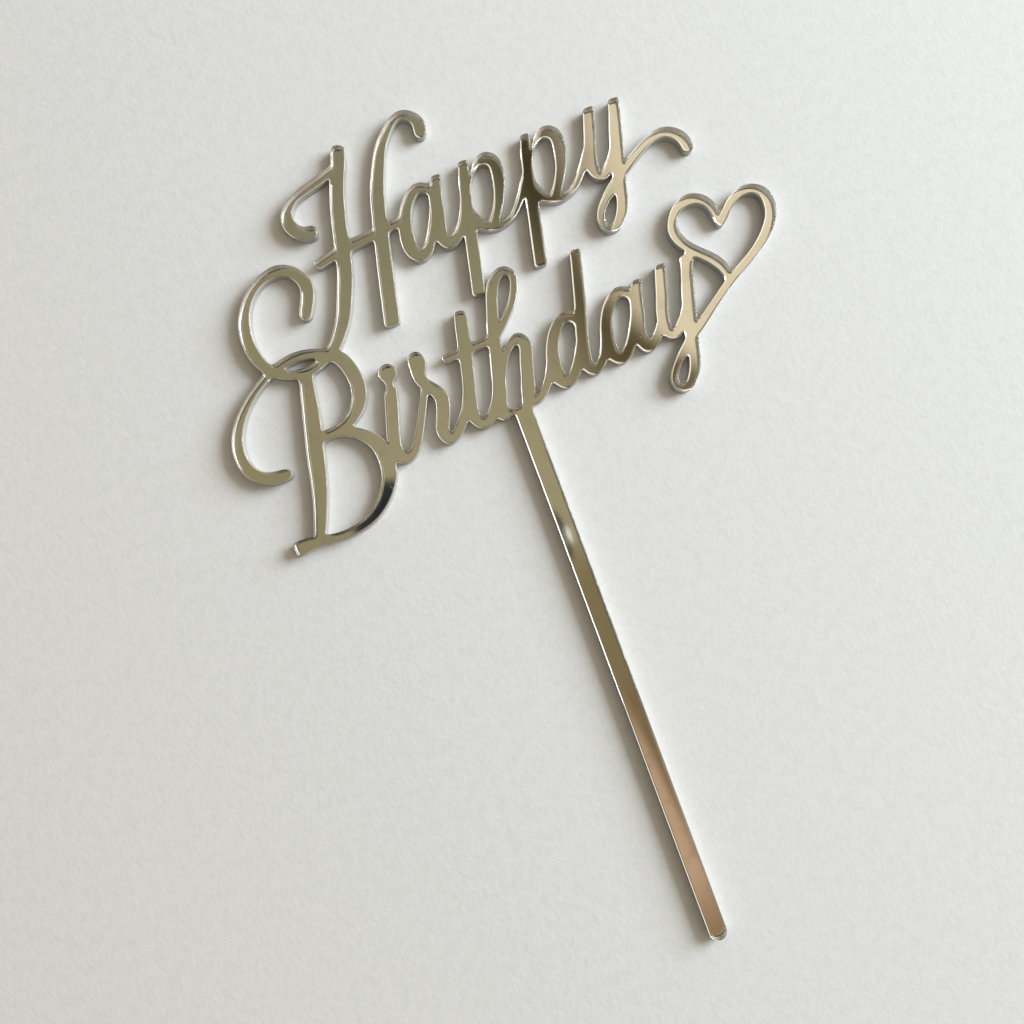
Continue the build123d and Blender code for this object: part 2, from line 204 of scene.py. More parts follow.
class TopperFinishes(bpy.types.PropertyGroup):
    """Colours and gloss of the three layers."""

    acrylic_colour: bpy.props.FloatVectorProperty(
        name="Clear acrylic",
        description="Tint of the polished front",
        subtype="COLOR",
        size=4,
        default=(0.985, 0.985, 0.97, 1.0),
    )
    wall_colour: bpy.props.FloatVectorProperty(
        name="Cut wall",
        description="Tint of the laser-cut walls",
        subtype="COLOR",
        size=4,
        default=(0.52, 0.51, 0.475, 1.0),
    )
    wall_inside_colour: bpy.props.FloatVectorProperty(
        name="Cut wall from inside",
        description="Colour of the light that the cut wall throws back into the sheet",
        subtype="COLOR",
        size=4,
        default=(0.93, 0.925, 0.90, 1.0),
    )
    silver_colour: bpy.props.FloatVectorProperty(
        name="Silver",
        description="Colour of the mirror film",
        subtype="COLOR",
        size=4,
        default=(0.90, 0.895, 0.87, 1.0),
    )
    silver_dull_colour: bpy.props.FloatVectorProperty(
        name="Dull silver",
        description="Colour of the film in its faint cloudy patches",
        subtype="COLOR",
        size=4,
        default=(0.84, 0.83, 0.80, 1.0),
    )
    prick_colour: bpy.props.FloatVectorProperty(
        name="Pin pricks",
        description="Colour of the film in its few pin pricks",
        subtype="COLOR",
        size=4,
        default=(0.45, 0.44, 0.42, 1.0),
    )
    paint_colour: bpy.props.FloatVectorProperty(
        name="Backing paint",
        description="Main colour of the grey paint on the back",
        subtype="COLOR",
        size=4,
        default=(0.36, 0.37, 0.38, 1.0),
    )
    paint_dark_colour: bpy.props.FloatVectorProperty(
        name="Dark paint",
        description="Colour of the thinner patches of the paint",
        subtype="COLOR",
        size=4,
        default=(0.25, 0.255, 0.265, 1.0),
    )
    acrylic_index: bpy.props.FloatProperty(
        name="Acrylic index",
        description="Refractive index of the sheet",
        default=1.49,
    )


class TopperStage(bpy.types.PropertyGroup):
    """Paper, light and camera."""

    paper_colour: bpy.props.FloatVectorProperty(
        name="Paper",
        description="Main colour of the paper",
        subtype="COLOR",
        size=4,
        default=(0.809, 0.816, 0.80, 1.0),
    )
    paper_fibre_colour: bpy.props.FloatVectorProperty(
        name="Paper fibre",
        description="Colour of the paper's darker fibres",
        subtype="COLOR",
        size=4,
        default=(0.769, 0.776, 0.755, 1.0),
    )
    paper_width: bpy.props.FloatProperty(
        name="Paper width",
        description="Width of the square sheet of paper",
        default=3.0,
        unit="LENGTH",
    )
    paper_gap: bpy.props.FloatProperty(
        name="Paper gap",
        description="Gap between the paper and the back of the topper",
        default=0.00002,
        unit="LENGTH",
        precision=6,
    )
    lamp_power: bpy.props.FloatProperty(
        name="Lamp power",
        description="Power of the large soft lamp at the right",
        default=29.0,
        unit="POWER",
    )
    lamp_width: bpy.props.FloatProperty(
        name="Lamp width",
        description="Width of the lamp along the paper",
        default=0.8,
        unit="LENGTH",
    )
    lamp_tall: bpy.props.FloatProperty(
        name="Lamp height",
        description="Size of the lamp from its lower to its upper edge",
        default=0.84,
        unit="LENGTH",
    )
    lamp_distance: bpy.props.FloatProperty(
        name="Lamp distance",
        description="Distance of the lamp from the middle of the picture",
        default=1.4,
        unit="LENGTH",
    )
    lamp_rise: bpy.props.FloatProperty(
        name="Lamp rise",
        description="Angle of the lamp above the paper",
        default=math.radians(27.0),
        subtype="ANGLE",
    )
    lamp_heading: bpy.props.FloatProperty(
        name="Lamp heading",
        description="Direction of the lamp, counted from the writing's right-hand side",
        default=math.radians(8.0),
        subtype="ANGLE",
    )
    lamp_colour: bpy.props.FloatVectorProperty(
        name="Lamp colour",
        description="Colour of the lamp, that of daylight",
        subtype="COLOR",
        size=3,
        default=(0.815, 0.894, 1.0),
    )
    fill_colour: bpy.props.FloatVectorProperty(
        name="Fill light",
        description="Colour and strength of the light from all round",
        subtype="COLOR",
        size=4,
        default=(0.40, 0.345, 0.265, 1.0),
    )
    backdrop_colour: bpy.props.FloatVectorProperty(
        name="Backdrop",
        description="Colour that the camera sees past the edge of the paper",
        subtype="COLOR",
        size=4,
        default=(0.83, 0.835, 0.81, 1.0),
    )
    aim: bpy.props.FloatVectorProperty(
        name="Aim",
        description="Point that the camera looks at",
        subtype="XYZ",
        unit="LENGTH",
        size=3,
        default=(-0.01053, -0.02027, 0.0018),
    )
    camera_distance: bpy.props.FloatProperty(
        name="Camera distance",
        description="Distance of the camera from the point it looks at",
        default=0.2484,
        unit="LENGTH",
    )
    camera_tilt: bpy.props.FloatProperty(
        name="Camera tilt",
        description="Tilt of the camera away from straight down",
        default=math.radians(4.0),
        subtype="ANGLE",
    )
    camera_turn: bpy.props.FloatProperty(
        name="Camera turn",
        description="Turn of the camera about the upright",
        default=math.radians(-20.225),
        subtype="ANGLE",
    )
    camera_view: bpy.props.FloatProperty(
        name="Camera view",
        description="Angle of view across the square picture",
        default=2.0 * math.atan(picture_half / picture_focal),
        subtype="ANGLE",
    )


class TopperRoom(bpy.types.PropertyGroup):
    """Tones of the room overhead, which the mirror shows."""

    overhead_colour: bpy.props.FloatVectorProperty(
        name="Overhead",
        description="Olive grey of the room beyond the top of the writing",
        subtype="COLOR",
        size=4,
        default=(0.25, 0.228, 0.138, 1.0),
    )
    near_colour: bpy.props.FloatVectorProperty(
        name="Near",
        description="Lighter olive grey over the writing",
        subtype="COLOR",
        size=4,
        default=(0.36, 0.315, 0.19, 1.0),
    )
    left_colour: bpy.props.FloatVectorProperty(
        name="Left",
        description="Olive grey to the left of the writing",
        subtype="COLOR",
        size=4,
        default=(0.285, 0.25, 0.14, 1.0),
    )
    below_colour: bpy.props.FloatVectorProperty(
        name="Below",
        description="Darker grey over the upper half of the stick",
        subtype="COLOR",
        size=4,
        default=(0.225, 0.178, 0.09, 1.0),
    )
    ruddy_colour: bpy.props.FloatVectorProperty(
        name="Ruddy",
        description="Reddish brown over the lower half of the stick",
        subtype="COLOR",
        size=4,
        default=(0.205, 0.136, 0.068, 1.0),
    )
    warm_colour: bpy.props.FloatVectorProperty(
        name="Warm light",
        description="Warm light towards the end of the stick",
        subtype="COLOR",
        size=4,
        default=(0.54, 0.36, 0.235, 1.0),
    )
    edge_colour: bpy.props.FloatVectorProperty(
        name="Edge",
        description="Brown past the end of the stick",
        subtype="COLOR",
        size=4,
        default=(0.30, 0.19, 0.10, 1.0),
    )
    strip_colour: bpy.props.FloatVectorProperty(
        name="Dark strip",
        description="Dark strip to the right of the writing",
        subtype="COLOR",
        size=4,
        default=(0.105, 0.079, 0.039, 1.0),
    )
    strip_deep_colour: bpy.props.FloatVectorProperty(
        name="Deep strip",
        description="Far end of the dark strip",
        subtype="COLOR",
        size=4,
        default=(0.048, 0.037, 0.017, 1.0),
    )
    window_colour: bpy.props.FloatVectorProperty(
        name="Window",
        description="Cream window past the dark strip",
        subtype="COLOR",
        size=4,
        default=(0.80, 0.685, 0.475, 1.0),
    )
    bright_colour: bpy.props.FloatVectorProperty(
        name="Daylight",
        description="Bright daylight at the far right",
        subtype="COLOR",
        size=4,
        default=(1.3, 1.19, 1.04, 1.0),
    )
    far_side_colour: bpy.props.FloatVectorProperty(
        name="Far side",
        description="Pale side of the room at the far left",
        subtype="COLOR",
        size=4,
        default=(0.54, 0.52, 0.45, 1.0),
    )
    flag_colour: bpy.props.FloatVectorProperty(
        name="Dark flag",
        description="Dark flag near the middle, and the streak beside it",
        subtype="COLOR",
        size=4,
        default=(0.02, 0.027, 0.038, 1.0),
    )
    glint_colour: bpy.props.FloatVectorProperty(
        name="Glint",
        description="Short bright line on the streak",
        subtype="COLOR",
        size=4,
        default=(1.6, 1.6, 1.48, 1.0),
    )


def add(tree, kind, at=(0, 0), **settings):
    """New node of that kind, with its settings and its inputs by name."""
    node = tree.nodes.new(kind)
    node.location = at
    for key, value in settings.items():
        if hasattr(node, key):
            setattr(node, key, value)
        else:
            node.inputs[key].default_value = value
    return node


def wire(tree, source, target):
    """Feed an input: a socket is linked to it, any other value is set on it."""
    if isinstance(source, bpy.types.NodeSocket):
        tree.links.new(source, target)
    else:
        target.default_value = source


def math_node(tree, operation, *values, at=(0, 0)):
    """Math node whose inputs are sockets or numbers; returns its output."""
    node = add(tree, "ShaderNodeMath", at, operation=operation)
    for slot, value in enumerate(values):
        wire(tree, value, node.inputs[slot])
    return node.outputs[0]


def remap(tree, value, start, end, low=0.0, high=1.0, at=(0, 0), kind="LINEAR"):
    """Value that goes from low at start to high at end, and no further."""
    node = add(tree, "ShaderNodeMapRange", at, interpolation_type=kind)
    wire(tree, value, node.inputs["Value"])
    labels = ("From Min", "From Max", "To Min", "To Max")
    for label, number in zip(labels, (start, end, low, high)):
        node.inputs[label].default_value = number
    return node.outputs["Result"]


def soft_step(tree, value, start, end, at=(0, 0)):
    """Value from 0 at start to 1 at end, eased at both; start may be the larger one."""
    return remap(tree, value, start, end, at=at, kind="SMOOTHSTEP")


def blend_colours(tree, share, first, second, at=(0, 0)):
    """Mix of two colours, each a socket or a colour; returns the mixed colour."""
    node = add(tree, "ShaderNodeMix", at, data_type="RGBA")
    for slot, value in zip(mix_inputs, (share, first, second)):
        wire(tree, value, node.inputs[slot])
    return node.outputs[mix_output]


def shaded(colour, share):
    """The colour times a share, and opaque."""
    return [share * value for value in colour[:3]] + [1.0]


def make_group(name, inputs, outputs):
    """Empty shader node group with float inputs and outputs; returns it and its end nodes."""
    group = bpy.data.node_groups.new(name, "ShaderNodeTree")
    for label, default in inputs:
        socket = group.interface.new_socket(label, in_out="INPUT", socket_type="NodeSocketFloat")
        socket.default_value = default
    for label in outputs:
        group.interface.new_socket(label, in_out="OUTPUT", socket_type="NodeSocketFloat")
    start = add(group, "NodeGroupInput", (-900, 0))
    finish = add(group, "NodeGroupOutput", (600, 0))
    return group, start, finish


def cut_lines_group():
    """Fine upright lines that the pulsing laser leaves on a cut wall."""
    group, start, finish = make_group(
        "Cut lines", [("Lines per metre", 5200.0), ("Slant", 0.06)], ["Lines", "Grain"]
    )
    coords = add(group, "ShaderNodeTexCoord", (-900, 200))
    flat = add(group, "ShaderNodeVectorMath", (-700, 200), operation="MULTIPLY")
    squash = add(group, "ShaderNodeCombineXYZ", (-900, -200), X=1.0, Y=1.0)
    wire(group, start.outputs["Slant"], squash.inputs["Z"])
    wire(group, coords.outputs["Object"], flat.inputs[0])
    wire(group, squash.outputs[0], flat.inputs[1])
    lines = add(group, "ShaderNodeTexNoise", (-400, 200), Detail=2.0, Roughness=0.6)
    wire(group, flat.outputs[0], lines.inputs["Vector"])
    wire(group, start.outputs["Lines per metre"], lines.inputs["Scale"])
    grain = add(group, "ShaderNodeTexNoise", (-400, -100), Detail=3.0, Roughness=0.7)
    wire(group, coords.outputs["Object"], grain.inputs["Vector"])
    coarser = math_node(
        group, "MULTIPLY", start.outputs["Lines per metre"], grain_share, at=(-600, -100)
    )
    wire(group, coarser, grain.inputs["Scale"])
    wire(group, lines.outputs["Fac"], finish.inputs["Lines"])
    wire(group, grain.outputs["Fac"], finish.inputs["Grain"])
    return group


def slow_waves_group():
    """Faint swells of a cast sheet, and the cloudy patches that go with them."""
    group, start, finish = make_group(
        "Slow waves", [("Waves per metre", 45.0)], ["Height", "Cloud"]
    )
    coords = add(group, "ShaderNodeTexCoord", (-900, 200))
    swell = add(group, "ShaderNodeTexNoise", (-500, 200), Detail=1.0, Roughness=0.4)
    wire(group, coords.outputs["Object"], swell.inputs["Vector"])
    wire(group, start.outputs["Waves per metre"], swell.inputs["Scale"])
    finer = math_node(
        group, "MULTIPLY", start.outputs["Waves per metre"], cloud_share, at=(-700, -100)
    )
    cloud = add(group, "ShaderNodeTexNoise", (-500, -100), Detail=4.0, Roughness=0.55)
    wire(group, coords.outputs["Object"], cloud.inputs["Vector"])
    wire(group, finer, cloud.inputs["Scale"])
    wire(group, swell.outputs["Fac"], finish.inputs["Height"])
    wire(group, cloud.outputs["Fac"], finish.inputs["Cloud"])
    return group


def specks_group():
    """Sparse dust grains and pin pricks."""
    group, start, finish = make_group(
        "Specks", [("Specks per metre", 900.0), ("Share", 0.06)], ["Specks"]
    )
    coords = add(group, "ShaderNodeTexCoord", (-900, 200))
    cells = add(group, "ShaderNodeTexVoronoi", (-600, 200), feature="F1")
    wire(group, coords.outputs["Object"], cells.inputs["Vector"])
    wire(group, start.outputs["Specks per metre"], cells.inputs["Scale"])
    chance = add(group, "ShaderNodeSeparateColor", (-400, 0))
    wire(group, cells.outputs["Color"], chance.inputs[0])
    picked = math_node(
        group, "LESS_THAN", chance.outputs[0], start.outputs["Share"], at=(-200, 0)
    )
    dot = soft_step(group, cells.outputs["Distance"], *speck_span, at=(-200, 200))
    shown = math_node(group, "MULTIPLY", picked, dot, at=(200, 100))
    wire(group, shown, finish.inputs["Specks"])
    return group


def shared_groups():
    """The shader groups that several finishes use, made on first use."""
    makers = {
        "lines": ("Cut lines", cut_lines_group),
        "waves": ("Slow waves", slow_waves_group),
        "specks": ("Specks", specks_group),
    }
    return {
        key: bpy.data.node_groups.get(label) or maker() for key, (label, maker) in makers.items()
    }


def place_group(tree, group, at, **values):
    """Node that uses a shader group, with its inputs by name."""
    node = add(tree, "ShaderNodeGroup", at)
    node.node_tree = group
    for label, value in values.items():
        node.inputs[label.replace("_", " ")].default_value = value
    return node


def new_material(name):
    """Material with its Principled shader; returns it, its tree and the shader."""
    material = bpy.data.materials.new(name)
    material.use_nodes = True
    tree = material.node_tree
    return material, tree, tree.nodes["Principled BSDF"]


def bump(tree, shader, height, strength, distance):
    """Give a shader the relief of a height."""
    node = add(tree, "ShaderNodeBump", (-300, -300), Strength=strength, Distance=distance)
    wire(tree, height, node.inputs["Height"])
    wire(tree, node.outputs["Normal"], shader.inputs["Normal"])


def clear_front_material(finishes, groups):
    """Polished front of the acrylic: clear, with faint swells and a little dust."""
    speck_haze = 0.35
    smudge_haze = 0.03
    material, tree, shader = new_material("Polished clear acrylic")
    shader.inputs["Base Color"].default_value = finishes.acrylic_colour
    shader.inputs["Transmission Weight"].default_value = 1.0
    shader.inputs["IOR"].default_value = finishes.acrylic_index
    waves = place_group(tree, groups["waves"], (-900, 0), Waves_per_metre=38.0)
    specks = place_group(tree, groups["specks"], (-900, -250), Specks_per_metre=700.0, Share=0.05)
    smudge = remap(tree, waves.outputs["Cloud"], 0.35, 0.75, 0.0, smudge_haze, (-600, 100))
    rough = math_node(
        tree, "MULTIPLY_ADD", specks.outputs["Specks"], speck_haze, smudge, at=(-300, 100)
    )
    wire(tree, rough, shader.inputs["Roughness"])
    bump(tree, shader, waves.outputs["Height"], strength=0.05, distance=0.0001)
    return material


def cut_wall_material(finishes, groups):
    """Laser-cut wall of the acrylic: frosted in fine upright lines. Seen from inside the sheet it
    is a rough bright mirror, because light that meets the wall at a low angle is thrown back."""
    least_haze, most_haze = 0.40, 0.58
    material, tree, shader = new_material("Laser-cut acrylic wall")
    lines = place_group(tree, groups["lines"], (-900, 0), Lines_per_metre=5200.0, Slant=0.06)
    grain = lines.outputs["Grain"]
    frost = blend_colours(
        tree,
        remap(tree, grain, 0.3, 0.65, at=(-600, 250)),
        shaded(finishes.wall_colour, wall_dark_share),
        finishes.wall_colour,
        (-450, 250),
    )
    inside = add(tree, "ShaderNodeNewGeometry", (-600, 500)).outputs["Backfacing"]
    wire(tree, inside, shader.inputs["Metallic"])
    tint = blend_colours(tree, inside, frost, finishes.wall_inside_colour, (-250, 250))
    wire(tree, tint, shader.inputs["Base Color"])
    rough = remap(tree, grain, 0.3, 0.7, least_haze, most_haze, (-600, 0))
    wire(tree, rough, shader.inputs["Roughness"])
    bump(tree, shader, lines.outputs["Lines"], strength=0.5, distance=0.00004)
    return material


def silver_material(finishes, groups):
    """Mirror film: silver with faint clouds, slow waves and a few pin pricks."""
    silver_haze = 0.03
    cloud_haze = 0.03
    material, tree, shader = new_material("Silver mirror film")
    shader.inputs["Metallic"].default_value = 1.0
    waves = place_group(tree, groups["waves"], (-900, 0), Waves_per_metre=60.0)
    specks = place_group(tree, groups["specks"], (-900, -250), Specks_per_metre=420.0, Share=0.04)
    cloud = soft_step(tree, waves.outputs["Cloud"], 0.5, 0.75, (-600, 250))
    tone = blend_colours(
        tree, cloud, finishes.silver_colour, finishes.silver_dull_colour, (-400, 250)
    )
    pricked = blend_colours(
        tree, specks.outputs["Specks"], tone, finishes.prick_colour, (-200, 250)
    )
    wire(tree, pricked, shader.inputs["Base Color"])
    rough = math_node(tree, "MULTIPLY_ADD", cloud, cloud_haze, silver_haze, at=(-300, 0))
    wire(tree, rough, shader.inputs["Roughness"])
    bump(tree, shader, waves.outputs["Height"], strength=0.05, distance=0.0001)
    return material


def paint_material(finishes, groups):
    """Grey protective paint on the back, a little mottled and dull."""
    least_haze, most_haze = 0.42, 0.7
    material, tree, shader = new_material("Grey backing paint")
    waves = place_group(tree, groups["waves"], (-900, 0), Waves_per_metre=120.0)
    lines = place_group(tree, groups["lines"], (-900, -250), Lines_per_metre=2600.0, Slant=1.0)
    mottle = soft_step(tree, waves.outputs["Cloud"], 0.35, 0.65, (-600, 250))
    tone = blend_colours(
        tree, mottle, finishes.paint_colour, finishes.paint_dark_colour, (-300, 250)
    )
    wire(tree, tone, shader.inputs["Base Color"])
    rough = remap(tree, lines.outputs["Grain"], 0.0, 1.0, least_haze, most_haze, (-600, 0))
    wire(tree, rough, shader.inputs["Roughness"])
    bump(tree, shader, lines.outputs["Grain"], strength=0.35, distance=0.00003)
    return material


def rim_loops(node):
    """Closed rows of points round the upper face of a CAD node, with the solid on their left."""
    mesh = bmesh.new()
    mesh.from_mesh(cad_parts[node].data)
    bmesh.ops.remove_doubles(mesh, verts=mesh.verts, dist=weld_distance)
    top = max(vert.co.z for vert in mesh.verts)
    follow = {}
    for face in mesh.faces:
        level = all(abs(vert.co.z - top) <= level_slack for vert in face.verts)
        if face.normal.z < 0.5 or not level:
            continue
        for corner in face.loops:
            start, end = corner.vert, corner.link_loop_next.vert
            if follow.get(end.index, {}).pop(start.index, None) is None:
                follow.setdefault(start.index, {})[end.index] = True
    mesh.verts.ensure_lookup_table()
    ways = {start: list(ends) for start, ends in follow.items() if ends}
    loops = []
    while ways:
        row = []
        here = next(iter(ways))
        while here in ways:
            row.append(mesh.verts[here].co.to_2d())
            onward = ways[here].pop()
            if not ways[here]:
                del ways[here]
            here = onward
        loops.append(row)
    mesh.free()
    if not loops or any(len(row) < 3 for row in loops):
        raise RuntimeError(f"the rim of {node} doesn't close")
    return loops


def thin_out(row, least):
    """The same row without points closer than least to the one before."""
    kept = [row[0]]
    for point in row[1:]:
        if (point - kept[-1]).length >= least:
            kept.append(point)
    while len(kept) > 3 and (kept[0] - kept[-1]).length < least:
        kept.pop()
    return kept


def turn_at(row, index):
    """Angle by which a closed row turns at one of its points, to the left positive."""
    back = row[index] - row[index - 1]
    ahead = row[(index + 1) % len(row)] - row[index]
    return math.atan2(back.x * ahead.y - back.y * ahead.x, back.dot(ahead))


def walk(row, index, distance, way):
    """Point at a distance along a closed row from one of its points, and how many it passes."""
    here, left = row[index], distance
    for passed in range(len(row) - 1):
        onward = row[(index + way * (passed + 1)) % len(row)]
        gap = (onward - here).length
        if gap >= left:
            return here.lerp(onward, left / gap), passed
        here, left = onward, left - gap
    return here, len(row) - 1


def run_lengths(points):
    """Distance along a row of points from its start to each of them."""
    run = [0.0]
    for first, second in zip(points, points[1:]):
        run.append(run[-1] + (second - first).length)
    return run


def round_notches(row, radius, reach):
    """The row with each sharp notch between two strokes led round in an arc. No arc starts
    farther from its corner than reach, or than near half-way to the next notch."""
    count = len(row)
    turns = [turn_at(row, index) for index in range(count)]
    notches = [index for index in range(count) if turns[index] < -notch_turn]
    run = run_lengths(row + row[:1])
    arcs = {}
    passed = set()
    for place, index in enumerate(notches):
        length = min(reach, radius * math.tan(-turns[index] / 2.0))
        if len(notches) > 1:
            after = notches[(place + 1) % len(notches)]
            before = notches[place - 1]
            length = min(length, notch_gap_share * ((run[after] - run[index]) % run[-1]))
            length = min(length, notch_gap_share * ((run[index] - run[before]) % run[-1]))
        start, behind = walk(row, index, length, -1)
        end, ahead = walk(row, index, length, 1)
        weight = math.cos(turns[index] / 2.0)
        arcs[index] = []
        for step in range(arc_steps + 1):
            share = step / arc_steps
            parts = ((1.0 - share) ** 2, 2.0 * weight * share * (1.0 - share), share**2)
            point = start * parts[0] + row[index] * parts[1] + end * parts[2]
            arcs[index].append(point / sum(parts))
        passed.update((index + step) % count for step in range(-behind, ahead + 1))
    rounded = []
    for index, point in enumerate(row):
        if index in arcs:
            rounded.extend(arcs[index])
        elif index not in passed:
            rounded.append(point)
    return rounded


def even_loop(row, spacing):
    """The closed row set out again at even steps, and smoothed between its sharp corners."""
    corners = [index for index in range(len(row)) if abs(turn_at(row, index)) > corner_turn]
    starts = corners or [0]
    points = []
    fixed = set()
    for place, start in enumerate(starts):
        end = starts[(place + 1) % len(starts)]
        span = (end - start) % len(row) or len(row)
        part = [row[(start + step) % len(row)] for step in range(span + 1)]
        run = run_lengths(part)
        pieces = max(2, round(run[-1] / spacing))
        if corners:
            fixed.add(len(points))
        reached = 0
        for step in range(pieces):
            goal = run[-1] * step / pieces
            while run[reached + 1] < goal:
                reached += 1
            share = (goal - run[reached]) / (run[reached + 1] - run[reached])
            points.append(part[reached].lerp(part[reached + 1], share))
    count = len(points)
    for _ in range(smooth_passes):
        points = [
            point
            if index in fixed
            else 0.5 * point + 0.25 * (points[index - 1] + points[(index + 1) % count])
            for index, point in enumerate(points)
        ]
    return points


def clean_loops(node, sizes):
    """Rim of a CAD node with rounded notches and evenly spaced points."""
    loops = []
    for row in rim_loops(node):
        row = round_notches(thin_out(row, crowded_step), sizes.notch_round, sizes.notch_reach)
        loops.append(even_loop(thin_out(row, crowded_arc_step), sizes.edge_step))
    return loops


def outward_steps(row):
    """For each point of a loop, the step that moves both sides beside it outward by one."""
    steps = []
    count = len(row)
    for index, point in enumerate(row):
        back = (point - row[index - 1]).normalized()
        ahead = (row[(index + 1) % count] - point).normalized()
        side_back = Vector((back.y, -back.x))
        side_ahead = Vector((ahead.y, -ahead.x))
        middle = side_back + side_ahead
        if middle.length < level_slack:
            middle = side_ahead
        middle.normalize()
        steps.append(middle / max(middle.dot(side_ahead), least_mitre))
    return steps


def cut_plate(name, loops, profile, materials, wall_rows):
    """Closed plate with the loops' outline: its edge follows profile, a row of (inset, height).
    The rows of the edge named in wall_rows take the second material."""
    mesh = bmesh.new()
    lower_rim = []
    upper_rim = []
    for row in loops:
        steps = outward_steps(row)
        rings = []
        for inset, height in profile:
            ring = [
                mesh.verts.new((point.x - step.x * inset, point.y - step.y * inset, height))
                for point, step in zip(row, steps)
            ]
            rings.append(ring)
        count = len(row)
        for level, (below, above) in enumerate(zip(rings, rings[1:])):
            for index in range(count):
                after = (index + 1) % count
                face = mesh.faces.new((below[index], below[after], above[after], above[index]))
                face.smooth = True
                face.material_index = 1 if level in wall_rows else 0
        for ring, rim in ((rings[0], lower_rim), (rings[-1], upper_rim)):
            rim.extend(mesh.edges.get((ring[index - 1], ring[index])) for index in range(count))
    for rim, up in ((lower_rim, -1.0), (upper_rim, 1.0)):
        made = bmesh.ops.triangle_fill(mesh, use_beauty=True, edges=rim, normal=(0.0, 0.0, up))
        cap = [item for item in made["geom"] if isinstance(item, bmesh.types.BMFace)]
        if not cap:
            raise RuntimeError(f"{name}: a face of the plate couldn't be filled")
        for face in cap:
            face.normal_update()
            if face.normal.z * up < 0.0:
                face.normal_flip()
            face.smooth = False
            face.material_index = 0
        for edge in rim:
            edge.smooth = False
    for edge in mesh.edges:
        if edge.is_manifold and edge.calc_face_angle() > crease_turn:
            edge.smooth = False
    data = bpy.data.meshes.new(name)
    mesh.to_mesh(data)
    mesh.free()
    for material in materials:
        data.materials.append(material)
    plate = bpy.data.objects.new(name, data)
    bpy.context.scene.collection.objects.link(plate)
    return plate


class TOPPER_OT_acrylic_sheet(bpy.types.Operator):
    """Make the clear acrylic sheet with its rounded rim and frosted cut walls"""

    bl_idname = "topper.acrylic_sheet"
    bl_label = "Clear acrylic sheet"

    def execute(self, context):
        sizes = context.scene.topper_sizes
        finishes = context.scene.topper_finishes
        groups = shared_groups()
        foot, rim, hold = sizes.foot_round, sizes.rim_round, sizes.hold
        low, high = sheet_low.z, sheet_high.z
        profile = [
            (foot, low),
            (0.0, low + foot),
            (0.0, low + foot + hold),
            (0.0, high - rim - hold),
        ]
        wall_rows = range(len(profile))
        for step in range(rim_steps + 1):
            angle = math.radians(90.0 / rim_steps * step)
            inset = rim * (1.0 - math.cos(angle))
            profile.append((inset, high - rim * (1.0 - math.sin(angle))))
        plate = cut_plate(
            "acrylic_sheet",
            clean_loops("clear_acrylic_sheet", sizes),
            profile,
            [clear_front_material(finishes, groups), cut_wall_material(finishes, groups)],
            wall_rows,
        )
        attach(plate, "root")
        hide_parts("clear_acrylic_sheet")
        return {"FINISHED"}


class TOPPER_OT_mirror_film(bpy.types.Operator):
    """Make the silver film that lies on the back of the sheet"""

    bl_idname = "topper.mirror_film"
    bl_label = "Mirror film"

    def execute(self, context):
        sizes = context.scene.topper_sizes
        inset = sizes.film_inset
        profile = [(inset, film_low.z), (inset, film_high.z + sizes.film_lap)]
        material = silver_material(context.scene.topper_finishes, shared_groups())
        plate = cut_plate(
            "silver_film", clean_loops("mirror_film", sizes), profile, [material], ()
        )
        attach(plate, "root")
        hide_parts("mirror_film")
        return {"FINISHED"}


class TOPPER_OT_backing_coat(bpy.types.Operator):
    """Make the grey paint that covers the back of the film"""

    bl_idname = "topper.backing_coat"
    bl_label = "Backing coat"

    def execute(self, context):
        sizes = context.scene.topper_sizes
        foot = sizes.foot_round
        low, high = coat_low.z, coat_high.z
        profile = [(foot, low), (0.0, low + foot), (0.0, high)]
        material = paint_material(context.scene.topper_finishes, shared_groups())
        plate = cut_plate(
            "backing_paint", clean_loops("backing_coat", sizes), profile, [material], ()
        )
        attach(plate, "root")
        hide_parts("backing_coat")
        return {"FINISHED"}


def paper_material(stage):
    """White drawing paper with a soft tooth and a few fibres."""
    material, tree, shader = new_material("White paper")
    shader.inputs["Specular IOR Level"].default_value = 0.06
    shader.inputs["Roughness"].default_value = 0.95
    coords = add(tree, "ShaderNodeTexCoord", (-1200, 0))
    tooth = add(tree, "ShaderNodeTexNoise", (-900, -200), Scale=900.0, Detail=3.0, Roughness=0.55)
    wire(tree, coords.outputs["Object"], tooth.inputs["Vector"])
    cloud = add(tree, "ShaderNodeTexNoise", (-900, 200), Scale=380.0, Detail=4.0, Roughness=0.6)
    wire(tree, coords.outputs["Object"], cloud.inputs["Vector"])
    share = soft_step(tree, cloud.outputs["Fac"], 0.35, 0.75, (-600, 200))
    tone = blend_colours(tree, share, stage.paper_colour, stage.paper_fibre_colour, (-300, 200))
    wire(tree, tone, shader.inputs["Base Color"])
    bump(tree, shader, tooth.outputs["Fac"], strength=0.2, distance=0.0003)
    return material


def lay_paper(stage):
    """Square sheet of paper under the topper."""
    half = stage.paper_width / 2.0
    data = bpy.data.meshes.new("paper")
    corners = [(-half, -half, 0.0), (half, -half, 0.0), (half, half, 0.0), (-half, half, 0.0)]
    data.from_pydata(corners, [], [(0, 1, 2, 3)])
    data.materials.append(paper_material(stage))
    paper = bpy.data.objects.new("paper", data)
    paper.location.z = cad_low.z - stage.paper_gap
    bpy.context.scene.collection.objects.link(paper)


